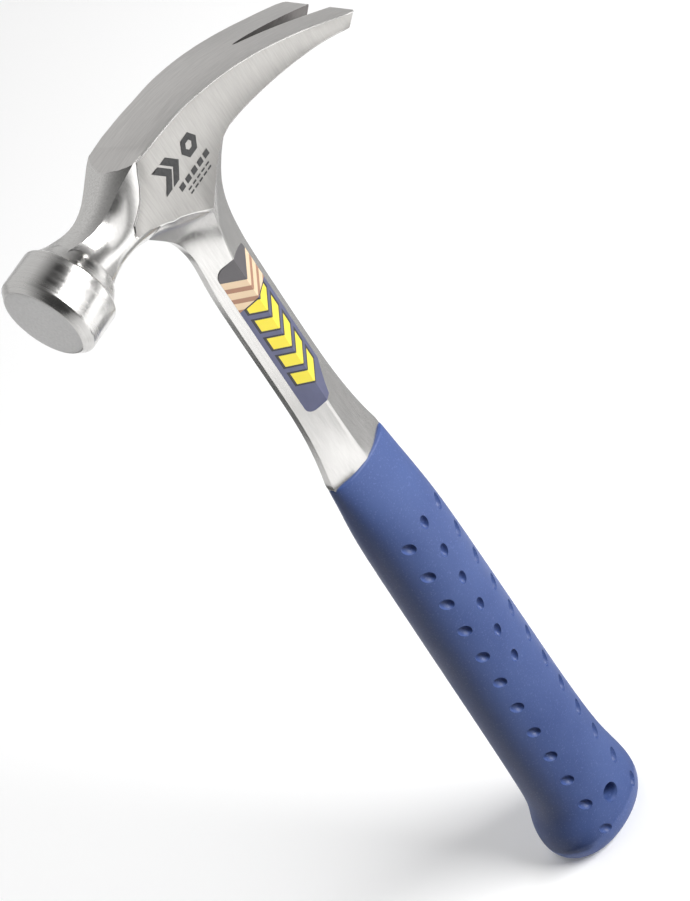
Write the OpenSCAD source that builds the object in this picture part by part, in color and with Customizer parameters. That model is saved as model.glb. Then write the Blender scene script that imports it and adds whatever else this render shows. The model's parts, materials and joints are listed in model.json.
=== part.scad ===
// Claw hammer: one steel forging with a moulded grip.
// +Z runs up the handle to the head, -X is the striking side and +X the claw side.
// The origin is the centre of the hanging hole. All sizes are in millimetres.

/* [Overall] */
// Height of the poll axis above the hanging hole
poll_z = 297; // [260:1:320]
// Distance from the hanging hole down to the end of the grip
butt_drop = 19; // [17:0.5:22]

/* [Poll] */
// Distance from the handle axis to the striking face
face_x = 55.8; // [50:0.1:60]
// Radius of the flat striking face
face_r = 11.8; // [10:0.1:12.5]
// Radius of the poll
poll_r = 13.8; // [13:0.1:15]
// Width of the bevel round the striking face
face_bevel = 2.1; // [1:0.1:3]
// Length of the poll's cylinder behind the bevel
poll_len = 11; // [9:0.5:14]

/* [Claw] */
// Distance from the handle axis to the claw tips
claw_x = 70.4; // [66:0.1:76]
// Drop of the claw tips below the poll axis
claw_drop = 15.5; // [13:0.5:20]
// Half of the claw's width across the tips
claw_tip_half_w = 13.2; // [12:0.1:14]
// Distance from the handle axis to the root of the nail slot
slot_root_x = 39; // [34:0.5:44]
// Half of the nail slot's width at the claw tips
slot_half_w = 3.8; // [3:0.1:4.4]

/* [Shank] */
// Half of the shank's width, front to back
shank_half_w = 8.95; // [7.5:0.05:9.5]
// Half of the shank's thickness at its middle ridge
ridge_half_t = 4.6; // [4:0.1:5.5]
// Half of the shank's thickness at its narrow front and back faces
edge_half_t = 1.15; // [0.8:0.05:2]

/* [Grip] */
// Height of the grip's upper rim above the hanging hole
rim_z = 173; // [160:0.5:180]
// Half of the grip's width along its straight stretch, front to back
grip_half_w = 15.4; // [14:0.1:16.5]
// Half of the grip's thickness along its straight stretch
grip_half_t = 11.8; // [10.5:0.1:13]
// Half of the butt's width, front to back
butt_half_w = 20.6; // [19:0.1:22]
// Half of the butt's thickness
butt_half_t = 15.2; // [14:0.1:16]
// Radius of the hanging hole
hang_r = 3; // [2:0.1:3.5]

/* [Label] */
// Width of the label, measured front to back
label_w = 13; // [10:0.1:14]
// Length of the label
label_len = 60; // [40:1:62]
// Height of the label's middle above the hanging hole
label_z = 229.5; // [222:0.5:236]

/* [Hidden] */
fine = 96;
steel = [0.74, 0.73, 0.71];
vinyl = [0.20, 0.28, 0.56];

claw_curve = [[-11.8, 13], [17.5, 12.3], [33.5, 7.3], [claw_x, -claw_drop]];
belly_curve = [[18, -5.1], [29, -4.9], [55, -11.3], [claw_x - 4.3, -claw_drop - 2.3]];
cheek_y = 8.6;        // half width of the head over the flat of the cheek
print_t = 0.15;
label_t = 0.2;
label_x = -0.5;
flare_x = 14;         // where the claw starts to widen
shank_x = -0.9;       // offset of the shank's middle plane from the grip's axis
tang_half_w = 7;
tang_half_t = 3.2;
web_half_t = 1.6;
tang_bottom = -9;
tang_eye_r = 5.4;     // clearance in the tang round the hanging hole
tang_top = rim_z - 2;
lock_hole_r = 2.5;
lock_pitch = 30;
ridge_flat = 0.4;     // half width of the narrow flat along the shank's ridge
facet_slope = (ridge_half_t - edge_half_t) / (shank_half_w - ridge_flat);

// Point at t along a cubic curve
function cubic(c, t) =
    pow(1 - t, 3) * c[0] + 3 * t * pow(1 - t, 2) * c[1]
    + 3 * t * t * (1 - t) * c[2] + pow(t, 3) * c[3];
function curve(c, n) = [for (i = [0 : n]) cubic(c, i / n)];

// Value at z in a table of [z, value] rows whose first column rises
function at(table, z) = lookup(z, table);

// Closed ring of a rounded section, half sizes a and b, squarer as p grows
function ring(a, b, p, n) = [
    for (i = [0 : n - 1])
    let (u = 360 * i / n, c = cos(u), s = sin(u))
    [a * sign(c) * pow(abs(c), 2 / p), b * sign(s) * pow(abs(s), 2 / p)]
];

// Solid through a list of closed rings of 3D points, all with the same count
module loft(rings) {
    n = len(rings[0]);
    last = len(rings) - 1;
    sides = [
        for (k = [0 : last - 1], i = [0 : n - 1])
        let (j = (i + 1) % n)
        each [
            [k * n + i, (k + 1) * n + i, (k + 1) * n + j],
            [k * n + i, (k + 1) * n + j, k * n + j]
        ]
    ];
    bottom = [for (i = [0 : n - 1]) i];
    top = [for (i = [n - 1 : -1 : 0]) last * n + i];
    polyhedron([for (r = rings) each r], concat([bottom], sides, [top]), convexity = 6);
}

// Flat outline in X and Z, drawn out evenly to both sides of Y = 0
module side_plate(half_w) {
    rotate([90, 0, 0])
        linear_extrude(height = 2 * half_w, center = true) children();
}

// ---- Forging ---------------------------------------------------------------

module poll() {
    back = -face_x + face_bevel + poll_len;
    rotate([0, 90, 0])
        rotate_extrude($fn = fine)
            polygon([
                [0, -face_x],
                [face_r, -face_x],
                [poll_r, -face_x + face_bevel],
                [poll_r, back],
                [poll_r - 1, back + 0.8],
                [0, back + 0.8]
            ]);
}

// Neck between the poll and the cheeks. Each row is X, top, bottom, half width.
module neck() {
    rows = [
        [-face_x + 12, 12.2, -12.2, 12.2],
        [-38.5, 10.6, -11, 10],
        [-33.5, 8.9, -9.2, 8.4],
        [-28.5, 8.1, -8.2, 7.5],
        [-23, 8.8, -9, 6.8],
        [-18, 10.5, -10.8, 6.8],
        [-12, 12.3, -12.4, 6.9],
        [-8, 12.1, -12.6, 6.9]
    ];
    loft([
        for (r = rows)
        let (mid = (r[1] + r[2]) / 2, half_h = (r[1] - r[2]) / 2)
        [for (q = ring(half_h, r[3], 2.1, 32)) [r[0], -q[1], mid + q[0]]]
    ]);
}

// Side outline of the head: cheeks with their low point, and the curved claw
module head_side() {
    polygon(concat(
        curve(claw_curve, 16),
        [for (i = [8 : -1 : 0]) cubic(belly_curve, i / 8)],
        [[13.2, -6.4], [0.4, -17.9], [-12, -8.6], [-23.6, -1.4], [-18.6, 2.6], [-13.6, 7.4]]
    ));
}

// Plan outline of the head: parallel cheeks, then a claw that flares to its tips
module head_plan() {
    upper = [
        [-25, 7.4], [-12, 8], [-7, cheek_y], [flare_x, cheek_y + 0.1], [24, 9.5],
        [36, 10.2], [48, 10.9], [60, 11.9], [claw_x + 1, claw_tip_half_w]
    ];
    lower = [for (i = [len(upper) - 1 : -1 : 0]) [upper[i][0], -upper[i][1]]];
    polygon(concat(upper, lower));
}

// V slot that grips a nail, open at the claw tips
module nail_slot() {
    translate([0, 0, -40])
        linear_extrude(height = 60)
            polygon([
                [slot_root_x, -0.15],
                [claw_x - 9, -slot_half_w * 0.75],
                [claw_x + 4, -slot_half_w - 0.6],
                [claw_x + 4, slot_half_w + 0.6],
                [claw_x - 9, slot_half_w * 0.75],
                [slot_root_x, 0.15]
            ]);
}

module head() {
    difference() {
        intersection() {
            side_plate(20) head_side();
            translate([0, 0, -60]) linear_extrude(height = 120) head_plan();
        }
        nail_slot();
    }
}

// Webs that carry the poll and the claw into the shank
module throat_web() {
    side_plate(2.4)
        polygon([
            [0, -33], [-8.5, -33], [-8.9, -28], [-9.5, -24.5], [-10.6, -20.6],
            [-12.8, -17.2], [-16, -13.4], [-20.5, -10.8], [-26, -8], [-30, -5], [0, -8]
        ]);
}

module claw_web() {
    side_plate(2.6)
        polygon([
            [0, -33], [8.7, -33], [9.2, -29], [10.2, -24.9],
            [12, -21], [14.4, -17.4], [18.4, -12.8], [23.5, -9.2],
            [31, -6.4], [20, -2], [0, -10]
        ]);
}

// Six-sided shank ring at height z below the poll axis, its middle at x
function shank_ring(z, x, w, t, e) = [
    [x - w, -e, z], [x - ridge_flat, -t, z], [x + ridge_flat, -t, z], [x + w, -e, z],
    [x + w, e, z], [x + ridge_flat, t, z], [x - ridge_flat, t, z], [x - w, e, z]
];

// Shank from inside the grip's rim up to the cheeks. Each row is Z, middle, half width,
// ridge, edge.
module shank() {
    rim = rim_z - poll_z;
    rows = [
        [rim - 4, shank_x, 11.8, 4.6, 1.2],
        [rim, shank_x, 12.8, 5, 1.3],
        [rim + 2.5, shank_x, 12.5, 4.9, 1.3],
        [rim + 7, shank_x, 11.6, ridge_half_t + 0.2, edge_half_t],
        [rim + 13, shank_x, 10.6, ridge_half_t, edge_half_t],
        [rim + 22, shank_x, shank_half_w + 0.5, ridge_half_t, edge_half_t],
        [rim + 33, shank_x, shank_half_w, ridge_half_t, edge_half_t],
        [-46, shank_x, shank_half_w, ridge_half_t, edge_half_t],
        [-37, shank_x + 0.6, shank_half_w - 0.3, ridge_half_t, edge_half_t],
        [-30, 0.2, shank_half_w, ridge_half_t + 0.5, edge_half_t + 0.5],
        [-24, 0.4, shank_half_w + 0.8, 6, 2.2],
        [-17.5, 0.4, shank_half_w + 1.8, 7.8, 3.5],
        [-9, 0.4, shank_half_w + 1.8, 8, 4.5]
    ];
    loft([for (r = rows) shank_ring(r[0], r[1], r[2], r[3], r[4])]);
}

// Tang inside the grip: an I section with cross holes and an eye at the butt
module tang() {
    difference() {
        union() {
            translate([-tang_half_w, -tang_half_t, tang_bottom])
                cube([2 * tang_half_w, 2 * tang_half_t, tang_top - tang_bottom]);
            rotate([90, 0, 0])
                cylinder(h = 2 * tang_half_t, r = tang_eye_r + 4, center = true, $fn = fine);
        }
        for (side = [-1, 1])
            translate([-4, side > 0 ? web_half_t : -tang_half_t - 1, 16])
                cube([8, tang_half_t - web_half_t + 1, tang_top - 16 - 14]);
        for (z = [30 : lock_pitch : tang_top - 25])
            translate([0, 0, z])
                rotate([90, 0, 0])
                    cylinder(h = 20, r = lock_hole_r, center = true, $fn = 48);
        rotate([90, 0, 0])
            cylinder(h = 20, r = tang_eye_r, center = true, $fn = fine);
    }
}

module forging() {
    color(steel) {
        translate([0, 0, poll_z]) {
            poll();
            neck();
            head();
            throat_web();
            claw_web();
            shank();
        }
        tang();
    }
}

// ---- Grip ------------------------------------------------------------------

// Half widths and half thicknesses of the grip at heights above the hanging hole
grip_w = [
    [-butt_drop, butt_half_w - 4.5], [-butt_drop + 1.2, butt_half_w - 2.2],
    [-butt_drop + 3.2, butt_half_w - 0.6], [-butt_drop + 6, butt_half_w],
    [-8, butt_half_w - 1], [0, butt_half_w - 2.6], [9, grip_half_w + 1.6],
    [20, grip_half_w + 1], [50, grip_half_w + 0.6], [90, grip_half_w],
    [135, grip_half_w - 0.9], [155, grip_half_w - 1.4], [165, 13.7], [rim_z, 13.4]
];
grip_t = [
    [-butt_drop, butt_half_t - 4.5], [-butt_drop + 1.2, butt_half_t - 2.2],
    [-butt_drop + 3.2, butt_half_t - 0.5], [-butt_drop + 6, butt_half_t],
    [0, butt_half_t - 1], [15, grip_half_t + 0.8], [50, grip_half_t + 0.2],
    [110, grip_half_t - 0.3], [135, grip_half_t - 0.6], [150, grip_half_t - 1.6],
    [158, 8.8], [166, 6.6], [rim_z, 5.3]
];
grip_levels = [
    for (z = [0, 1.2, 3.2, 6]) z - butt_drop, for (z = [-8, -3, 2, 9, 20]) z,
    for (z = [35 : 20 : 135]) z, for (f = [0.2 : 0.16 : 1]) 135 + f * (rim_z - 135)
];

module grip_body() {
    loft([
        for (z = grip_levels)
        let (x = shank_x * max(0, min(1, (z - 120) / 40)))
        [for (q = ring(at(grip_w, z), at(grip_t, z), 2.15, 40)) [x + q[0], q[1], z]]
    ]);
}

module grip() {
    color(vinyl)
        difference() {
            grip_body();
            translate([0, 0, poll_z]) shank();
            tang();
            rotate([90, 0, 0])
                cylinder(h = 60, r = hang_r, center = true, $fn = fine);
        }
}

// ---- Label and print -------------------------------------------------------

// Rounded label outline in X and Z
module label_outline() {
    corner = 3;
    hull()
        for (x = [-1, 1], z = [-1, 1])
            translate([x * (label_w / 2 - corner), z * (label_len / 2 - corner)])
                circle(r = corner, $fn = 32);
}

// Film folded over the shank's near ridge
module label() {
    half = label_w / 2 + 1;
    inner = -ridge_half_t;
    fall = facet_slope * (half - ridge_flat);
    color([0.36, 0.40, 0.50])
        intersection() {
            translate([label_x, 0, label_z])
                side_plate(20) label_outline();
            translate([shank_x, 0, label_z - label_len])
                linear_extrude(height = 2 * label_len)
                    polygon([
                        [-half, inner + fall], [-ridge_flat, inner],
                        [ridge_flat, inner], [half, inner + fall],
                        [half, inner + fall - label_t], [ridge_flat, inner - label_t],
                        [-ridge_flat, inner - label_t], [-half, inner + fall - label_t]
                    ]);
        }
}

// Bold chevron that points along X
module chevron() {
    polygon([[-2.6, 4.2], [0.6, 0], [-2.6, -4.2], [0, -4.2], [3.2, 0], [0, 4.2]]);
}

// A generic mark: chevrons and a hexagon, with rows of dashes below them
module cheek_mark() {
    difference() {
        circle(r = 3.4, $fn = 6);
        circle(r = 1.4, $fn = 6);
    }
    for (x = [-11.6, -8.2]) translate([x, 0]) chevron();
    for (i = [0 : 4])
        translate([-8.6 + i * 2.9, -6.6]) square([2, 1.8], center = true);
    for (i = [0 : 4], j = [0, 1])
        translate([-6.8 + i * 2.1, -9 - j * 1.4]) square([1.4, 0.5], center = true);
}

module cheek_print() {
    color([0.08, 0.08, 0.08])
        translate([4.6, -cheek_y, poll_z + 2.2])
            rotate([90, 0, 0])
                linear_extrude(height = print_t) cheek_mark();
}

forging();
grip();
label();
cheek_print();
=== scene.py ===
import json
import math

import bmesh
import bpy
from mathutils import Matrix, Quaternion, Vector


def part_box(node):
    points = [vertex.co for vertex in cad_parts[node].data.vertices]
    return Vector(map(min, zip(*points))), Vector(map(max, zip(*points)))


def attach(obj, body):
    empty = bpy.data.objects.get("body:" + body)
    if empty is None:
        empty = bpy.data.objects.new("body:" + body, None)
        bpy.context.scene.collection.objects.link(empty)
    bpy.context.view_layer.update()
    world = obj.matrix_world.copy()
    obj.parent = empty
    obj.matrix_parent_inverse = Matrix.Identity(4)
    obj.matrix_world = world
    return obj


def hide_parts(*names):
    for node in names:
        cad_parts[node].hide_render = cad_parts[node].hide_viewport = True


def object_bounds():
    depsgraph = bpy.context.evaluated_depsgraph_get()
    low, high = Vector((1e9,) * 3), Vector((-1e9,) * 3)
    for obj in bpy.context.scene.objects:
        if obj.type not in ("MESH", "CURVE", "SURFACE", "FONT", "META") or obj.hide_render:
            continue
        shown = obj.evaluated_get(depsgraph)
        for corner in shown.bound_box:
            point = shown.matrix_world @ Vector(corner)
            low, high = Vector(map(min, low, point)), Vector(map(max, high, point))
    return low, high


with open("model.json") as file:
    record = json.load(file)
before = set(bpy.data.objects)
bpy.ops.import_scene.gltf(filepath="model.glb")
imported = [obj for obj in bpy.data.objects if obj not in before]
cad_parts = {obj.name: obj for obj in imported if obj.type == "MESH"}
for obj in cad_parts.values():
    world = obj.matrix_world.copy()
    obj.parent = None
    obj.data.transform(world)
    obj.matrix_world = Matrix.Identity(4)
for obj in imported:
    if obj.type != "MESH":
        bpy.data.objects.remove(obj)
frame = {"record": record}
cad_low, cad_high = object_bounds()

# ---- Sizes taken from the frame ---------------------------------------------------

MM = 0.001
mounts = {m["name"]: m for m in frame["record"]["mounts"]}
face_at = Vector(mounts["striking_face"]["pos_m"])
hang_at = Vector(mounts["hang_hole"]["pos_m"])
hang_r = mounts["hang_hole"]["dims"]["r_mm"] * MM
head_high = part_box("forging")[1]
grip_low, grip_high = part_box("grip")
label_low, label_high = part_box("label")
print_low, print_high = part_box("cheek_print")

poll_axis = face_at.z
poll_r = (head_high.z - poll_axis) / MM
face_x = face_at.x / MM
claw_x = head_high.x / MM
rim_z = grip_high.z / MM
butt_z = grip_low.z / MM

cheek_w = 8.6                # half width of the head over the flat of the cheek
edge_break = 0.42            # width of the polished line that breaks each ground edge
slot_root_x = 39
slot_w = 3.8                 # half of the nail slot's width at the claw tips
ridge_t = 4.6                # half thickness of the shank at its ridge
edge_t = 1.15                # half thickness of its narrow front and back strips
facet_slope = 0.4
ridge_x = -0.9               # the shank's ridge, from the handle's axis
nose_x = -11.8               # where the ground land ends in front
nose_z = 13.0
land_slope = 0.0239          # how far the land falls in each millimetre at the nose
dimple_depth = 1.9
emblem_depth = 0.7
emblem_low, emblem_high = 12.6, 65.1
emblem_half = 4.9            # half width of the engraved emblem
emblem_line = 0.85
film_t = 0.15
film_corner = 3
cheek_mark_x = 4.6           # middle of the printed mark, from the handle's axis
cheek_mark_z = 2.2
face_ground = 0.22           # how far back the ground finish of the face goes

# ---- Modelling helpers ------------------------------------------------------------


def at_head(x, y, z):
    """A place measured in millimetres from where the poll's axis meets the handle's."""
    return Vector((x * MM, y * MM, z * MM + poll_axis))


def at_grip(x, y, z):
    """A place measured in millimetres from the hanging hole."""
    return Vector((x * MM, y * MM, z * MM)) + hang_at


def rest():
    """Object mode with nothing picked."""
    if bpy.context.object and bpy.context.object.mode != "OBJECT":
        bpy.ops.object.mode_set(mode="OBJECT")
    bpy.ops.object.select_all(action="DESELECT")


def take(piece, mode="OBJECT"):
    """Picks one piece alone, in this mode."""
    rest()
    piece.select_set(True)
    bpy.context.view_layer.objects.active = piece
    bpy.ops.object.mode_set(mode=mode)


def draw_out(name, rings):
    """A solid drawn out ring by ring from a filled circle, its corners moved as it goes."""
    rest()
    bpy.ops.mesh.primitive_circle_add(
        vertices=len(rings[0]), radius=MM, fill_type="NGON", enter_editmode=True
    )
    piece = bpy.context.object
    piece.name = name
    mesh = bmesh.from_edit_mesh(piece.data)
    number = mesh.verts.layers.int.new("corner")
    for i, corner in enumerate(mesh.verts):
        corner[number] = i
    for step, ring in enumerate(rings):
        if step:
            bpy.ops.mesh.extrude_region_move()
        mesh = bmesh.from_edit_mesh(piece.data)
        number = mesh.verts.layers.int["corner"]
        for corner in mesh.verts:
            if corner.select:
                corner.co = ring[corner[number]]
        bmesh.update_edit_mesh(piece.data)
    bpy.ops.mesh.select_all(action="SELECT")
    bpy.ops.mesh.normals_make_consistent(inside=False)
    bpy.ops.object.mode_set(mode="OBJECT")
    return piece


def pick(piece, wanted):
    """In edit mode, picks the edges or faces that wanted() says yes to."""
    take(piece, "EDIT")
    bpy.ops.mesh.select_all(action="DESELECT")
    mesh = bmesh.from_edit_mesh(piece.data)
    for part in list(mesh.edges) + list(mesh.faces):
        if wanted(part):
            part.select_set(True)
    bmesh.update_edit_mesh(piece.data)


def crease(piece, corners, ends=True):
    """Keeps the long lines at these corners crisp, and both ends, when it is smoothed."""
    take(piece, "EDIT")
    mesh = bmesh.from_edit_mesh(piece.data)
    number = mesh.verts.layers.int["corner"]
    sharp = mesh.edges.layers.float.get("crease_edge")
    if sharp is None:
        sharp = mesh.edges.layers.float.new("crease_edge")
    for edge in mesh.edges:
        a, b = (corner[number] for corner in edge.verts)
        if a == b and a in corners:
            edge[sharp] = corners[a]
        if ends and any(len(face.verts) > 4 for face in edge.link_faces):
            edge[sharp] = 1
    bmesh.update_edit_mesh(piece.data)
    bpy.ops.object.mode_set(mode="OBJECT")


def apply(piece, kind, **settings):
    """Adds a modifier with these settings and applies it."""
    take(piece)
    change = piece.modifiers.new(kind.lower(), kind)
    for key, value in settings.items():
        setattr(change, key, value)
    bpy.ops.object.modifier_apply(modifier=change.name)


def smooth(piece, levels):
    """Subdivides the piece into a smooth surface."""
    apply(piece, "SUBSURF", levels=levels, render_levels=levels)


def combine(piece, other, operation):
    """Joins other to piece, or cuts it from piece, and removes it."""
    apply(piece, "BOOLEAN", object=other, operation=operation, solver="EXACT",
          material_mode="TRANSFER")
    bpy.data.objects.remove(other)


def shade(piece, angle):
    """Smooth shading, with every edge turned by more than angle degrees left crisp."""
    take(piece)
    bpy.ops.object.shade_smooth_by_angle(angle=math.radians(angle))
    rest()


def rounded(corners, power):
    """A ring of points on a rounded section, squarer as power grows."""
    for i in range(corners):
        turn = 2 * math.pi * i / corners
        c, s = math.cos(turn), math.sin(turn)
        yield (math.copysign(abs(c) ** (2 / power), c),
               math.copysign(abs(s) ** (2 / power), s))


def cubic(ends, t):
    """A point along a curve drawn by two end points and two handles."""
    (ax, az), (bx, bz), (cx, cz), (dx, dz) = ends
    a, b, c, d = (1 - t) ** 3, 3 * t * (1 - t) ** 2, 3 * t * t * (1 - t), t ** 3
    return a * ax + b * bx + c * cx + d * dx, a * az + b * bz + c * cz + d * dz


def height_at(ends, x):
    """The height of such a curve over x."""
    low, high = 0.0, 1.0
    for _ in range(40):
        middle = (low + high) / 2
        if cubic(ends, middle)[0] < x:
            low = middle
        else:
            high = middle
    return cubic(ends, low)[1]


def between(table, x):
    """The value at x in rows of (x, value), going straight from row to row."""
    for (xa, a), (xb, b) in zip(table, table[1:]):
        if x <= xb:
            return a + (b - a) * max(0.0, (x - xa) / (xb - xa))
    return table[-1][1]


# ---- Finishes ---------------------------------------------------------------------


class Finish:
    """A material with a few short words for the nodes that all of them use."""

    def __init__(self, name, color, rough, metal=0.0):
        self.material = bpy.data.materials.new(name)
        self.material.use_nodes = True
        self.tree = self.material.node_tree
        self.shader = self.tree.nodes["Principled BSDF"]
        self.shader.inputs["Base Color"].default_value = (*color, 1)
        self.shader.inputs["Roughness"].default_value = rough
        self.shader.inputs["Metallic"].default_value = metal
        self.place = self.tree.nodes.new("ShaderNodeTexCoord").outputs["Object"]
        self.bumps = None

    def node(self, kind, **inputs):
        made = self.tree.nodes.new(kind)
        for key, value in inputs.items():
            self.put(made.inputs[key.replace("_", " ")], value)
        return made

    def put(self, socket, value):
        if isinstance(value, bpy.types.NodeSocket):
            self.tree.links.new(value, socket)
        else:
            socket.default_value = value

    def grain(self, scale, detail=4.0, rough=0.6, turn=(0, 0, 0)):
        """Noise on the piece's own coordinates, stretched by scale."""
        spread = self.node("ShaderNodeMapping", Vector=self.place, Scale=scale, Rotation=turn)
        return self.node("ShaderNodeTexNoise", Vector=spread.outputs[0], Scale=1.0,
                         Detail=detail, Roughness=rough).outputs["Fac"]

    def steps(self, value, *stops):
        """A ramp through (place, grey or colour) stops."""
        ramp = self.node("ShaderNodeValToRGB", Fac=value)
        marks = ramp.color_ramp.elements
        while len(marks) < len(stops):
            marks.new(0.5)
        for mark, (place, color) in zip(marks, stops):
            mark.position = place
            mark.color = (*color, 1) if hasattr(color, "__len__") else (color,) * 3 + (1,)
        return ramp.outputs["Color"]

    def math(self, kind, a, b=0.0, c=0.0):
        node = self.tree.nodes.new("ShaderNodeMath")
        node.operation = kind
        for socket, value in zip(node.inputs, (a, b, c)):
            self.put(socket, value)
        return node.outputs[0]

    def axes(self):
        return self.node("ShaderNodeSeparateXYZ", Vector=self.place).outputs

    def blend(self, share, a, b, kind="MIX"):
        """Colour a turned towards colour b by share."""
        node = self.tree.nodes.new("ShaderNodeMix")
        node.data_type = "RGBA"
        node.blend_type = kind
        self.put(node.inputs[0], share)
        self.put(node.inputs[6], a if isinstance(a, bpy.types.NodeSocket) else (*a, 1))
        self.put(node.inputs[7], b if isinstance(b, bpy.types.NodeSocket) else (*b, 1))
        return node.outputs[2]

    def bump(self, height, distance, strength=1.0):
        made = self.node("ShaderNodeBump", Height=height, Distance=distance, Strength=strength)
        if self.bumps is not None:
            self.put(made.inputs["Normal"], self.bumps)
        self.bumps = made.outputs[0]
        self.put(self.shader.inputs["Normal"], self.bumps)

    def set(self, name, value):
        self.put(self.shader.inputs[name], value)


def steel(name, color, rough, streaks, depth, spread=0.1):
    """Steel with fine streaks; streaks is the stretch of the grain along X, Y and Z."""
    made = Finish(name, color, rough, metal=1.0)
    lines = made.grain(streaks, detail=6)
    broad = made.grain((70, 70, 55), detail=3)
    made.set("Base Color", made.blend(
        made.steps(lines, (0.3, 0.0), (0.75, 1.0)),
        [c * 0.86 for c in color], [min(1.0, c * 1.08) for c in color]))
    low, high = max(0.02, rough - spread / 2), rough + spread / 2
    mixed = made.math("ADD", made.math("MULTIPLY", lines, 0.6), made.math("MULTIPLY", broad, 0.4))
    made.set("Roughness", made.steps(mixed, (0.3, low), (0.7, high)))
    made.bump(lines, depth * MM)
    return made


def turned_steel(name, color, rough):
    """Steel polished on a lathe: rings round the poll's axis."""
    made = Finish(name, color, rough, metal=1.0)
    x = made.axes()["X"]
    rings = made.node("ShaderNodeTexNoise", Scale=1.0, Detail=5.0)
    rings.noise_dimensions = "1D"
    made.put(rings.inputs["W"], made.math("MULTIPLY", x, 5200.0))
    lines = rings.outputs["Fac"]
    smears = made.grain((500, 60, 60), detail=3)
    made.set("Base Color", made.blend(
        made.steps(lines, (0.35, 0.0), (0.7, 1.0)),
        [c * 0.9 for c in color], [min(1.0, c * 1.05) for c in color]))
    made.set("Roughness", made.steps(smears, (0.3, rough - 0.06), (0.7, rough + 0.12)))
    made.bump(lines, 0.006 * MM)
    return made


bright = (0.66, 0.65, 0.635)
polished = steel("polished_steel", bright, 0.22, (2400, 2400, 110), 0.004, 0.06)
slotted = steel("slot_wall", (0.20, 0.19, 0.185), 0.45, (300, 300, 1500), 0.02, 0.1)
brushed = steel("brushed_cheek", (0.41, 0.40, 0.385), 0.34, (2600, 900, 130), 0.02, 0.14)
ground = steel("ground_top", (0.64, 0.625, 0.61), 0.38, (160, 2600, 160), 0.008, 0.08)
struck = steel("ground_face", (0.58, 0.575, 0.57), 0.42, (900, 1400, 1400), 0.005, 0.06)
lathe = turned_steel("turned_poll", bright, 0.21)


def vinyl():
    made = Finish("blue_vinyl", (0.033, 0.058, 0.19), 0.48)
    made.set("Specular IOR Level", 0.38)
    cloud = made.grain((45, 45, 30), detail=4)
    fine = made.grain((2600, 2600, 2600), detail=2)
    base = made.blend(
        made.steps(cloud, (0.3, 0.0), (0.7, 1.0)), (0.040, 0.071, 0.213), (0.056, 0.094, 0.252))
    specks = made.steps(made.grain((1900, 1900, 1900), detail=1), (0.60, 0.0), (0.72, 0.6))
    made.set("Base Color", made.blend(specks, base, (0.105, 0.150, 0.340)))
    made.set("Roughness", made.steps(cloud, (0.3, 0.42), (0.7, 0.52)))
    made.bump(fine, 0.03 * MM, 0.6)
    made.bump(made.grain((320, 320, 320), detail=3), 0.05 * MM, 0.5)
    return made


def film():
    """The label's print: warm slanted stripes at the top, a bold chain of chevrons below."""
    made = Finish("label_film", (0.12, 0.13, 0.22), 0.35)
    made.set("Coat Weight", 0.4)
    made.set("Coat Roughness", 0.12)
    x, _, z = made.axes()
    middle = (label_low.x + label_high.x) / 2
    across = made.math("SUBTRACT", x, middle)
    off = made.math("ABSOLUTE", across)
    down = made.math("SUBTRACT", label_high.z, z)
    pitch = 7.6 * MM
    slant = made.math("ADD", down, made.math("MULTIPLY", off, 0.75))
    beat = made.math("FRACT", made.math("DIVIDE", slant, pitch))
    near = made.math("ABSOLUTE", made.math("SUBTRACT", beat, 0.5))

    def chevrons(beat_width, half_width, top):
        """1 inside the chevrons' band, 0 outside it."""
        inside = made.math("LESS_THAN", near, beat_width)
        inside = made.math("MULTIPLY", inside, made.math("LESS_THAN", off, half_width * MM))
        inside = made.math("MULTIPLY", inside, made.math("GREATER_THAN", down, top * MM))
        return made.math("MULTIPLY", inside, made.math("LESS_THAN", slant, 7 * pitch))

    slate = made.blend(made.steps(made.grain((180, 180, 90)), (0.35, 0.0), (0.65, 1.0)),
                       (0.062, 0.068, 0.135), (0.080, 0.086, 0.165))
    hatch = made.math("FRACT", made.math("DIVIDE", slant, 4.2 * MM))
    warm = made.blend(made.steps(hatch, (0.56, 0.0), (0.62, 1.0)),
                      (0.62, 0.47, 0.31), (0.30, 0.15, 0.09))
    cap = made.math("LESS_THAN", slant, 8.4 * MM)
    warm = made.blend(cap, warm, (0.07, 0.065, 0.07))
    color = made.blend(made.math("LESS_THAN", down, 15.5 * MM), slate, warm)
    color = made.blend(chevrons(0.395, 5.3, 15.5), color, (0.012, 0.012, 0.016))
    color = made.blend(chevrons(0.30, 4.6, 16.0), color, (0.74, 0.62, 0.03))
    made.set("Base Color", color)
    made.bump(made.grain((900, 900, 900), detail=2), 0.01 * MM, 0.4)
    return made


def ink():
    made = Finish("black_ink", (0.012, 0.012, 0.013), 0.55)
    worn = made.grain((2200, 2200, 700), detail=5)
    made.set("Base Color", made.blend(
        made.steps(worn, (0.35, 0.0), (0.8, 1.0)), (0.010, 0.010, 0.011), (0.05, 0.05, 0.05)))
    made.set("Roughness", made.steps(worn, (0.3, 0.45), (0.7, 0.65)))
    made.bump(worn, 0.01 * MM)
    return made


def dress(piece, *finishes):
    piece.data.materials.clear()
    for finish in finishes:
        piece.data.materials.append(finish.material)


def dress_faces(piece, number, wanted):
    for face in piece.data.polygons:
        if wanted(face):
            face.material_index = number


# ---- Forging ----------------------------------------------------------------------

land = ((nose_x, nose_z), (17.5, 12.3), (33.5, 7.3), (claw_x, -15.5))
belly = ((18.0, -5.1), (29.0, -4.9), (55.0, -11.3), (claw_x - 4.3, -17.8))
head_w = ((-24, cheek_w), (9.5, cheek_w), (16, 9.2), (25, 9.7), (40, 10.5), (55, 11.5), (claw_x - 3, 12.9),
          (claw_x - 1.4, 12.9), (claw_x - 0.6, 12.5), (claw_x, 11.7))


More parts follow.
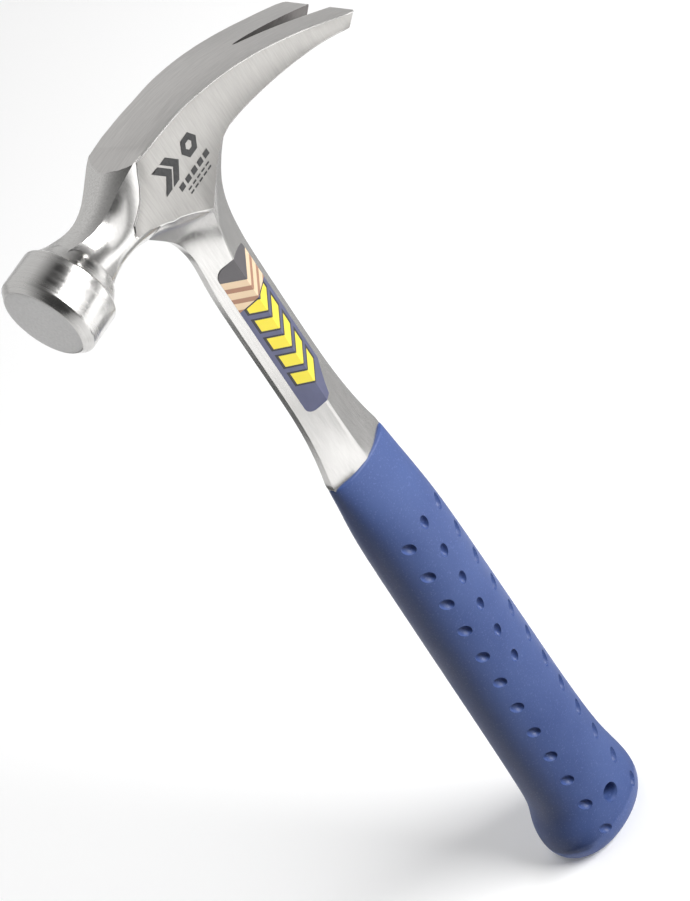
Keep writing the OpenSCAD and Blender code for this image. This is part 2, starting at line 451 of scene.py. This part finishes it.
def head():
    """Cheeks and claw in one bar; each row is top X, top Z, bottom X, bottom Z."""
    cheeks = [(-23.8, -1.5, -23.8, -2.1), (-22.2, 1.1, -21.8, -2.9), (-19.3, 2.5, -19.3, -3.9),
              (-16.5, 4.5, -16.2, -6.0), (-14.3, 7.4, -13.6, -7.8), (-12.7, 10.4, -11.8, -9.2)]
    cheeks += [(x, height_at(land, x), x, low) for x, low in (
        (-11, -9.5), (-9.4, -10.3), (-5.3, -13.3), (-2.3, -15.8), (0.3, -17.9), (2.7, -15.6),
        (4.9, -13.6), (8.8, -10.1), (13.2, -6.6), (16, -5.5))]
    claw = []
    for t in [i / 26 for i in range(25)] + [0.97, 0.988, 1]:
        x, low = cubic(belly, t)
        top_x = x + 4.3 * t ** 1.5
        claw.append((top_x, height_at(land, top_x), x, low))
    rings = []
    for top_x, top, low_x, low in cheeks + claw:
        wide = between(head_w, top_x)
        wide_top = wide - 0.55 * max(0.0, min(1.0, (-6 - top_x) / 6))
        rings.append([at_head(top_x, -wide_top, top), at_head(top_x, wide_top, top),
                      at_head(low_x, wide, low), at_head(low_x, -wide, low)])
    piece = draw_out("head", rings)
    slot = draw_out("slot", [
        [at_head(x, -w, -40), at_head(x, w, -40), at_head(x, w, 30), at_head(x, -w, 30)]
        for x, w in ((slot_root_x, 0.12), (slot_root_x + 1, 0.45), (slot_root_x + 5, 0.95),
                     (claw_x - 9, slot_w * 0.77), (claw_x + 4, slot_w + 0.5))])
    apply(piece, "BEVEL", width=edge_break * MM, segments=2, limit_method="ANGLE",
          angle_limit=math.radians(38), profile=0.6)
    dress(piece, polished, brushed, ground, slotted)
    dress(slot, slotted)
    combine(piece, slot, "DIFFERENCE")
    dress_faces(piece, 1, lambda f: f.material_index == 0 and abs(f.normal.y) > 0.97
                and f.area > 0.5e-6)
    dress_faces(piece, 2, lambda f: f.material_index == 0 and f.normal.z > 0.6
                and f.center.z > poll_axis - 0.020 and f.center.x > at_head(-11.5, 0, 0).x)
    return piece


def poll():
    """Striking face, bevel, cylinder and hollow shoulder; rows are distance back, radius."""
    rows = ((0, 4), (0.05, 8), (0.12, 10.6), (0.2, 11.5), (0.32, 11.75), (0.5, 11.95),
            (2.0, 13.45), (2.2, 13.6), (2.45, 13.73), (2.8, poll_r), (12.3, poll_r),
            (12.65, poll_r - 0.1), (12.85, poll_r - 0.35), (13.0, 13.1), (13.5, 12.65),
            (14.2, 12.2), (15.1, 11.65), (16.2, 11.05), (17.2, 10.5), (18.4, 9.6))
    rings = []
    for back, r in rows:
        rings.append([
            at_head(face_x + back, r * math.cos(2 * math.pi * i / 128),
                    r * math.sin(2 * math.pi * i / 128)) for i in range(128)])
    piece = draw_out("poll", rings)
    dress(piece, lathe, struck)
    dress_faces(piece, 1, lambda f: f.center.x < at_head(face_x + face_ground, 0, 0).x)
    return piece


def neck():
    """Waisted neck with a roof between two crisp lines.

    Each row is X, then Y and Z of the roof line, the upper flank, the widest point, the
    lower flank and the throat edge, then Z of the middle of the roof and of the throat.
    """
    rows = (
        (-45, 3.9, 10.9, 8.2, 7.9, 11.4, 0.2, 8.2, -7.7, 4.2, -10.8, 11.5, -11.6),
        (-41.5, 3.8, 11.2, 8.3, 7.7, 11.3, 0.0, 8.3, -7.6, 4.2, -10.4, 11.6, -11.3),
        (-38.3, 3.8, 9.9, 7.7, 6.3, 9.7, 0.0, 7.5, -6.7, 4.2, -9.2, 10.5, -9.9),
        (-34.3, 3.9, 8.0, 6.9, 4.6, 8.3, -0.5, 6.8, -5.2, 4.2, -7.7, 8.7, -8.3),
        (-30, 4.1, 7.0, 6.4, 3.8, 7.9, -0.9, 6.8, -4.6, 4.2, -6.5, 7.9, -7.1),
        (-26, 4.5, 7.4, 6.5, 4.0, 8.1, -1.1, 7.2, -4.6, 4.0, -6.9, 8.6, -7.4),
        (-22.3, 5.2, 8.7, 6.9, 5.0, 8.35, -1.0, 7.7, -5.0, 3.6, -8.1, 10.3, -8.7),
        (-18.6, 6.1, 10.5, 7.2, 7.0, 8.4, 0.0, 8.0, -6.0, 3.1, -10.2, 12.6, -10.8),
        (-15.2, 7.1, 12.0, 7.7, 8.5, 8.4, 0.0, 8.1, -7.0, 2.6, -11.5, 14.7, -12.2),
        (-12.2, 7.9, 13.1, 8.1, 9.5, 8.3, 0.0, 8.1, -7.5, 2.2, -11.5, 16.2, -12.0),
        (-9, 8.0, 13.6, 8.1, 9.5, 8.3, 0.0, 8.1, -7.5, 2.2, -11.0, 17.0, -11.5),
    )
    rings = []
    for x, ty, tz, uy, uz, wy, wz, ly, lz, by, bz, top, low in rows:
        near = [(ty, tz), (uy, uz), (wy, wz), (ly, lz), (by, bz)]
        ring = [(0, top)] + near + [(0, low)] + [(-y, z) for y, z in reversed(near)]
        rings.append([at_head(x, y, z) for y, z in ring])
    piece = draw_out("neck", rings)
    crease(piece, {1: 1.0, 11: 1.0, 5: 0.5, 7: 0.5})
    smooth(piece, 3)
    take(piece, "EDIT")
    bpy.ops.mesh.select_all(action="SELECT")
    bpy.ops.mesh.bisect(plane_co=at_head(nose_x, 0, nose_z + 0.005), plane_no=(land_slope, 0, 1),
                        clear_outer=True, use_fill=True)
    rest()
    dress(piece, polished, ground)
    dress_faces(piece, 1, lambda f: f.normal.z > 0.99 and f.center.z > at_head(0, 0, 12.7).z)
    return piece


def shank():
    """Six-sided shank that spreads under the cheeks.

    Each row is Z, then X of the front strip, the ridge's two lines and the back strip, then
    the half thickness of the strips and of the ridge, and how far the facets bulge.
    """
    rim = rim_z - poll_axis / MM
    rows = (
        (rim - 5, -12.9, -1.2, -0.6, 11.1, 1.2, 4.9, 1.2),
        (rim, -13.6, -1.2, -0.6, 11.9, 1.3, 5.0, 1.2),
        (rim + 2.5, -13.2, -1.2, -0.6, 11.6, 1.3, 4.95, 1.1),
        (rim + 6, -12.4, -1.2, -0.6, 10.9, 1.25, 4.9, 0.75),
        (rim + 11, -11.5, -1.2, -0.6, 10.1, 1.2, 4.75, 0.35),
        (rim + 17, -10.7, -1.2, -0.6, 9.4, edge_t, ridge_t + 0.05, 0.1),
        (rim + 24, -10.1, -1.2, -0.6, 8.8, edge_t, ridge_t, 0),
        (rim + 34, -9.8, -1.2, -0.6, 8.2, edge_t, ridge_t, 0),
        (-70, -9.85, -1.2, -0.6, 8.05, edge_t, ridge_t, 0),
        (-48, -9.85, -1.2, -0.6, 8.0, edge_t, ridge_t, 0),
        (-40, -9.4, -1.2, -0.6, 8.15, edge_t, ridge_t, 0),
        (-36.8, -9.0, -1.1, -0.5, 8.4, edge_t, ridge_t, 0),
        (-33, -8.7, -0.5, 0.1, 8.75, edge_t, ridge_t + 0.15, -0.1),
        (-29.5, -8.6, -0.1, 0.5, 9.2, edge_t + 0.05, ridge_t + 0.5, -0.25),
        (-25, -9.2, 0.1, 0.7, 10.2, edge_t + 0.15, 5.9, -0.6),
        (-21, -10.4, 0.1, 0.7, 11.9, 1.4, 7.2, -1.0),
        (-18.2, -12.1, 0, 0.6, 13.7, 1.6, 8.3, -1.2),
        (-15.4, -14.2, -2.8, 2.9, 15.9, 1.8, cheek_w - 0.35, -1.3),
        (-12.5, -16.4, -6.4, 6.1, 18.7, 2.1, cheek_w - 0.5, -1.2),
        (-9.9, -18.4, -9.9, 9.1, 22.2, 2.5, cheek_w - 0.5, -1.0),
        (-7.6, -20.5, -13.6, 12.0, 26.8, 3.1, cheek_w - 0.5, -0.8),
        (-5.0, -20.5, -13.6, 12.0, 29.5, 4.2, cheek_w - 0.5, -0.5),
    )
    rings = []
    for z, front, ridge_a, ridge_b, back, edge, ridge, bulge in rows:
        middle = (edge + ridge) / 2 + bulge
        half = [(front, edge), ((front + ridge_a) / 2, middle), (ridge_a, ridge),
                (ridge_b, ridge), ((back + ridge_b) / 2, middle), (back, edge)]
        ring = [(x, -y) for x, y in half] + [(x, y) for x, y in reversed(half)]
        rings.append([at_head(x, y, z) for x, y in ring])
    piece = draw_out("shank", rings)
    crease(piece, {i: 1.0 for i in (0, 2, 3, 5, 6, 8, 9, 11)})
    smooth(piece, 3)
    dress(piece, polished)
    return piece


def forging():
    """Head, neck, shank and poll joined into one solid."""
    piece = head()
    combine(piece, neck(), "UNION")
    combine(piece, shank(), "UNION")
    combine(piece, poll(), "UNION")
    piece.name = "hammer_forging"
    shade(piece, 28)
    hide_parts("forging")
    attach(piece, "root")
    return piece


# ---- Grip -------------------------------------------------------------------------

# Z, front X, back X and half thickness, measured from the hanging hole
grip_rows = (
    (rim_z, -13.4, 12.1, 5.0), (rim_z - 0.6, -13.9, 12.6, 5.5), (rim_z - 4, -14.1, 12.8, 6.3),
    (163, -14.2, 13.1, 7.7), (157, -14.5, 13.5, 9.1), (150, -14.8, 13.9, 10.4),
    (141, -15.1, 14.5, 11.35), (126, -15.3, 15.0, 11.8), (108, -15.6, 15.4, 11.9),
    (88, -15.9, 15.8, 12.0), (66, -16.2, 16.2, 12.1), (44, -16.5, 16.6, 12.2),
    (26, -16.8, 17.2, 12.5), (14, -17.0, 17.9, 13.0), (6.5, -17.3, 18.8, 13.6),
    (1, -18.5, 19.7, 14.2), (-3.5, -20.2, 20.4, 14.9), (-8.5, -20.9, 20.9, 15.4),
    (-13.5, -20.8, 20.8, 15.3), (-16.8, -19.6, 19.6, 14.3), (-18.6, -17.2, 17.2, 12.3),
    (butt_z, -14, 14, 9.6), (butt_z, -6, 6, 4),
)


def grip_solid(name):
    """The grip's outer form, before anything is cut into it."""
    rings = []
    for z, front, back, thick in grip_rows:
        middle, wide = (front + back) / 2, (back - front) / 2
        rings.append([at_grip(middle + wide * c, thick * s, z) for c, s in rounded(20, 2.12)])
    piece = draw_out(name, rings)
    smooth(piece, 3)
    return piece


def grip_at(x, z):
    """Half thickness of the grip at x and z, and the slope of its face there."""
    rows = sorted(grip_rows)
    front = between([(r[0], r[1]) for r in rows], z)
    back = between([(r[0], r[2]) for r in rows], z)
    thick = between([(r[0], r[3]) for r in rows], z)
    wide = (back - front) / 2
    u = (x - (front + back) / 2) / wide
    rise = math.sqrt(max(0.05, 1 - u * u))
    return thick * rise, thick / wide * u / rise


def dimple(x, z, side, long, wide, lean):
    """One oval hollow, its long way leaning from the handle's line."""
    rest()
    thick, slope = grip_at(x, z)
    bpy.ops.mesh.primitive_uv_sphere_add(segments=24, ring_count=12, radius=1)
    piece = bpy.context.object
    out = Vector((slope, 1, 0)).normalized()
    if side < 0:
        out.y = -out.y
    along = Vector((math.sin(lean) * out.y * side, -math.sin(lean) * out.x * side, math.cos(lean)))
    across = along.cross(out)
    reach = [v * MM for v in (wide / 2 * 1.06, long / 2 * 1.06, dimple_depth * 1.5)]
    centre = at_grip(x, side * thick, z) + out * (0.33 * reach[2])
    for corner in piece.data.vertices:
        a, b, c = corner.co
        corner.co = centre + across * (a * reach[0]) + along * (b * reach[1]) + out * (c * reach[2])
    return piece


def gather(pieces):
    """One piece from several, facing outwards all over."""
    rest()
    for piece in pieces:
        piece.select_set(True)
    bpy.context.view_layer.objects.active = pieces[0]
    bpy.ops.object.join()
    piece = bpy.context.object
    take(piece, "EDIT")
    bpy.ops.mesh.select_all(action="SELECT")
    bpy.ops.mesh.normals_make_consistent(inside=False)
    rest()
    return piece


def dimples():
    """Outer rows lean away from the middle as they go up; the middle row is short."""
    made = []
    pitch = 13.6
    lean = math.radians(36)
    for side in (-1, 1):
        for i in range(12):
            z = 141 - i * pitch
            made.append(dimple(-8.9, z, side, 5.7, 3.7, -lean))
            made.append(dimple(9.2 + 0.12 * i, z, side, 5.7, 3.7, lean))
        for i in range(6):
            made.append(dimple(-0.3, 143.7 - i * 13.5, side, 5.3, 3.1, math.radians(6)))
    return gather(made)


def engraving(outline, side):
    """A cutter that stands through the grip's face over an outline of (X, Z)."""
    return draw_out("engraving", [
        [at_grip(x, side * y, z) for x, z in outline] for y in (6, 20)])


def long_hexagon(low, high, half, side, turn=6.0):
    """A cutter over a hexagon from low to high; turn is the height of each pointed end."""
    return engraving([(0.13, high), (half, high - turn), (half, low + turn), (0.13, low),
                      (-half, low + turn), (-half, high - turn)], side)


def emblem():
    """A plain long hexagon with slanted bars in it, cut to an even depth."""
    made = []
    low, high, half, line = emblem_low, emblem_high, emblem_half, emblem_line
    for side in (-1, 1):
        rim = long_hexagon(low, high, half, side)
        inner = long_hexagon(low + 1.3 * line, high - 1.3 * line, half - line, side)
        take(inner)
        bpy.ops.transform.resize(value=(1, 3, 1), center_override=at_grip(0, side * 13, 0))
        bpy.ops.object.transform_apply(location=True, rotation=True, scale=True)
        combine(rim, inner, "DIFFERENCE")
        made.append(rim)
        for i in range(7):
            z = low + 9.4 + i * 5.1
            made.append(engraving([(-2.9, z), (2.9, z + 4.2), (2.9, z + 6.0), (-2.9, z + 1.8)],
                                  side))
    piece = gather(made)
    core = grip_solid("core")
    take(core, "EDIT")
    bpy.ops.mesh.select_all(action="SELECT")
    bpy.ops.transform.shrink_fatten(value=-emblem_depth * MM)
    combine(piece, core, "DIFFERENCE")
    return piece


def hanging_hole():
    """A through cutter with a soft lip at each mouth."""
    out = grip_at(0, 0)[0]
    rows = ((-out - 3, 4.2), (-out - 0.1, 3.55), (-out + 0.45, 3.15), (-out + 1.1, 3.0),
            (out - 1.1, 3.0), (out - 0.45, 3.15), (out + 0.1, 3.55), (out + 3, 4.2))
    scale = hang_r / MM / 3.0
    return draw_out("hole", [
        [at_grip(r * scale * math.cos(2 * math.pi * i / 64), y,
                 r * scale * math.sin(2 * math.pi * i / 64)) for i in range(64)]
        for y, r in rows])


def grip():
    """The moulded grip, with its dimples, emblem and hanging hole, closed round the shank."""
    piece = grip_solid("hammer_grip")
    dress(piece, vinyl())
    combine(piece, dimples(), "DIFFERENCE")
    combine(piece, emblem(), "DIFFERENCE")
    combine(piece, hanging_hole(), "DIFFERENCE")
    combine(piece, shank(), "DIFFERENCE")
    while len(piece.data.materials) > 1:
        piece.data.materials.pop()
    shade(piece, 35)
    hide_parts("grip")
    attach(piece, "root")
    return piece


# ---- Label and printed mark -------------------------------------------------------


def label():
    """A thin film with rounded corners, folded over the near ridge of the shank."""
    rest()
    centre = (label_low + label_high) / 2
    size = label_high - label_low
    bpy.ops.mesh.primitive_plane_add(size=1, rotation=(math.pi / 2, 0, 0), enter_editmode=True)
    piece = bpy.context.object
    piece.name = "shank_label"
    bpy.ops.object.mode_set(mode="OBJECT")
    bpy.ops.object.transform_apply(location=True, rotation=True, scale=True)
    bpy.ops.object.mode_set(mode="EDIT")
    bpy.ops.mesh.select_all(action="SELECT")
    fold = math.atan(facet_slope)
    bpy.ops.transform.resize(value=(size.x / math.cos(fold), 1, size.z))
    ridge = at_head(ridge_x, -ridge_t - 0.03, 0)
    bpy.ops.transform.translate(value=(centre.x, ridge.y, centre.z))
    bpy.ops.mesh.bevel(offset=film_corner * MM, segments=8, affect="VERTICES")
    bpy.ops.mesh.select_all(action="SELECT")
    bpy.ops.mesh.bisect(plane_co=ridge, plane_no=(1, 0, 0))
    for side in (-1, 1):
        bpy.ops.mesh.select_all(action="DESELECT")
        mesh = bmesh.from_edit_mesh(piece.data)
        for corner in mesh.verts:
            corner.select = (corner.co.x - ridge.x) * side > 1e-6
        mesh.select_flush_mode()
        bmesh.update_edit_mesh(piece.data)
        mesh = bmesh.from_edit_mesh(piece.data)
        for corner in mesh.verts:
            if corner.select:
                reach = abs(corner.co.x - ridge.x)
                corner.co.x = ridge.x + side * reach * math.cos(fold)
                corner.co.y = ridge.y + reach * math.sin(fold)
        bmesh.update_edit_mesh(piece.data)
    bpy.ops.object.mode_set(mode="OBJECT")
    apply(piece, "SOLIDIFY", thickness=film_t * MM, offset=1)
    dress(piece, film())
    shade(piece, 20)
    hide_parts("label")
    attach(piece, "root")
    return piece


def plate(outline):
    """A thin ink plate on the near cheek, drawn round an outline of (X, Z)."""
    face = print_high.y
    origin = at_head(cheek_mark_x, 0, cheek_mark_z)
    return draw_out("plate", [
        [origin + Vector((x * MM, y, z * MM)) for x, z in outline]
        for y in (face - 0.03 * MM, print_low.y + 0.07 * MM)])


def bar(x, z, wide, high):
    """One straight dash of the printed mark."""
    w, h = wide / 2, high / 2
    return plate([(x - w, z - h), (x + w, z - h), (x + w, z + h), (x - w, z + h)])


def cheek_mark():
    """Two chevrons and a ring, with rows of dashes below."""
    made = []
    for x in (-11.6, -8.2):
        made.append(plate([(x - 2.6, 4.2), (x + 0.6, 0), (x - 2.6, -4.2), (x, -4.2),
                           (x + 3.2, 0), (x, 4.2)]))
    ring = plate([(3.4 * math.cos(i * math.pi / 3), 3.4 * math.sin(i * math.pi / 3))
                  for i in range(6)])
    take(ring, "EDIT")
    pick(ring, lambda f: isinstance(f, bmesh.types.BMFace) and abs(f.normal.y) > 0.9)
    bpy.ops.mesh.inset(thickness=1.75 * MM)
    bpy.ops.mesh.delete(type="FACE")
    rest()
    take(ring, "EDIT")
    bpy.ops.mesh.select_all(action="DESELECT")
    bpy.ops.mesh.select_non_manifold()
    bpy.ops.mesh.bridge_edge_loops()
    bpy.ops.mesh.select_all(action="SELECT")
    bpy.ops.mesh.normals_make_consistent(inside=False)
    made.append(ring)
    for i in range(5):
        made.append(bar(-8.6 + i * 2.9, -6.6, 2, 1.8))
        for j in range(2):
            made.append(bar(-6.8 + i * 2.1, -9 - j * 1.4, 1.4, 0.5))
    piece = gather(made)
    piece.name = "cheek_mark"
    dress(piece, ink())
    shade(piece, 20)
    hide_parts("cheek_print")
    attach(piece, "root")
    return piece


# ---- Stage, light and camera ------------------------------------------------------


def floor():
    """A plain pale floor under the butt."""
    rest()
    bpy.ops.mesh.primitive_plane_add(size=8, location=(0, 0, cad_low.z - 0.2 * MM))
    piece = bpy.context.object
    piece.name = "floor"
    made = Finish("pale_floor", (0.86, 0.86, 0.86), 0.8)
    made.set("Specular IOR Level", 0.1)
    made.set("Emission Color", (1, 1, 1, 1))
    made.set("Emission Strength", 0.12)
    dress(piece, made)
    return piece


def card(name, place, aim, size, color, glow=0.0):
    """A studio card that only shows in polished steel."""
    rest()
    bpy.ops.mesh.primitive_plane_add(size=1)
    piece = bpy.context.object
    piece.name = name
    piece.location = place
    piece.scale = (*size, 1)
    piece.rotation_mode = "QUATERNION"
    piece.rotation_quaternion = (Vector(aim) - Vector(place)).to_track_quat("Z", "Y")
    made = Finish(name + "_paint", (color,) * 3, 0.9)
    if glow:
        made.set("Emission Color", (1, 1, 1, 1))
        made.set("Emission Strength", glow)
    dress(piece, made)
    piece.visible_camera = False
    piece.visible_diffuse = False
    piece.visible_shadow = False
    return piece


def flag(name, place, aim, size):
    """A dark card that only keeps soft light off the vinyl."""
    piece = card(name, place, aim, size, 0.02)
    piece.visible_diffuse = True
    piece.visible_glossy = False


def lamp(name, place, aim, size, power, glossy=True):
    """An area light; with glossy off, polished steel doesn't mirror it."""
    light = bpy.data.lights.new(name, "AREA")
    light.shape = "RECTANGLE"
    light.size, light.size_y = size
    light.energy = power
    holder = bpy.data.objects.new(name, light)
    bpy.context.scene.collection.objects.link(holder)
    holder.location = place
    holder.rotation_mode = "QUATERNION"
    holder.rotation_quaternion = (Vector(aim) - Vector(place)).to_track_quat("-Z", "Y")
    holder.visible_glossy = glossy


# Name, place, size, grey and glow of the cards that lie under the polished steel
floor_cards = (
    ("back_facet_card", 0.30, -0.07, 0.0, (0.34, 0.4), 0.36, 0),
    ("poll_card", 0.05, -0.06, -0.01, (0.14, 0.14), 0.30, 0),
    ("hollow_card", -0.045, -0.185, -0.012, (0.11, 0.09), 0.02, 0),
    ("neck_card", 0.10, -1.35, -0.014, (1.1, 1.1), 0.26, 0),
    ("front_facet_card", -0.09, -0.33, -0.014, (0.2, 0.2), 0.86, 0.22),
    ("edge_card", -0.145, 0.20, -0.012, (0.12, 0.16), 0.05, 0),
)


def studio():
    """A pale room behind, a dark one in front, and a soft key from the front right."""
    world = bpy.data.worlds.new("studio")
    bpy.context.scene.world = world
    world.use_nodes = True
    nodes, links = world.node_tree.nodes, world.node_tree.links
    nodes["Background"].inputs["Color"].default_value = (1, 1, 1, 1)
    split = nodes.new("ShaderNodeSeparateXYZ")
    links.new(nodes.new("ShaderNodeTexCoord").outputs["Generated"], split.inputs[0])
    ramp = nodes.new("ShaderNodeMapRange")
    ramp.inputs["From Min"].default_value = 0.0
    ramp.inputs["From Max"].default_value = 0.60
    ramp.inputs["To Min"].default_value = 0.05
    ramp.inputs["To Max"].default_value = 0.74
    links.new(split.outputs["Y"], ramp.inputs["Value"])
    links.new(ramp.outputs[0], nodes["Background"].inputs["Strength"])
    middle = (0, 0, 0.17)
    lamp("key", (0.52, -0.86, 0.84), middle, (0.75, 0.5), 24)
    lamp("overhead", (-0.1, 0.3, 1.5), middle, (0.9, 0.9), 6, glossy=False)
    flag("side_flag", (-0.085, -0.06, 0.08), (0.2, -0.06, 0.08), (0.30, 0.18))
    flag("floor_flag", (-0.115, -0.09, -0.012), (-0.115, -0.09, 1), (0.20, 0.20))
    for name, x, y, z, size, color, glow in floor_cards:
        card(name, (x, y, z), (x, y, 1), size, color, glow)
    card("front_glow", (0.45, -1.6, 0.40), (0.45, 0, 0.40), (1.15, 0.7), 0.5, glow=0.95)
    bpy.context.scene.view_settings.view_transform = "Standard"


def camera():
    """A long lens above the poll's near side, with the hammer leaning across the frame."""
    azimuth, elevation, roll = (math.radians(a) for a in (-32.53, 42.91, -33.9))
    shot = bpy.data.cameras.new("camera")
    shot.sensor_fit = "AUTO"
    shot.sensor_width = 36
    shot.lens = 127.86
    shot.clip_start = 0.05
    shot.clip_end = 20
    holder = bpy.data.objects.new("camera", shot)
    bpy.context.scene.collection.objects.link(holder)
    look = Vector((-math.sin(azimuth) * math.cos(elevation),
                   math.cos(azimuth) * math.cos(elevation), -math.sin(elevation)))
    holder.location = at_head(-358.2, -558.1, 495.2)
    holder.rotation_mode = "QUATERNION"
    holder.rotation_quaternion = (
        look.to_track_quat("-Z", "Y") @ Quaternion((0, 0, 1), roll))
    bpy.context.scene.camera = holder


forging()
grip()
label()
cheek_mark()
floor()
studio()
camera()
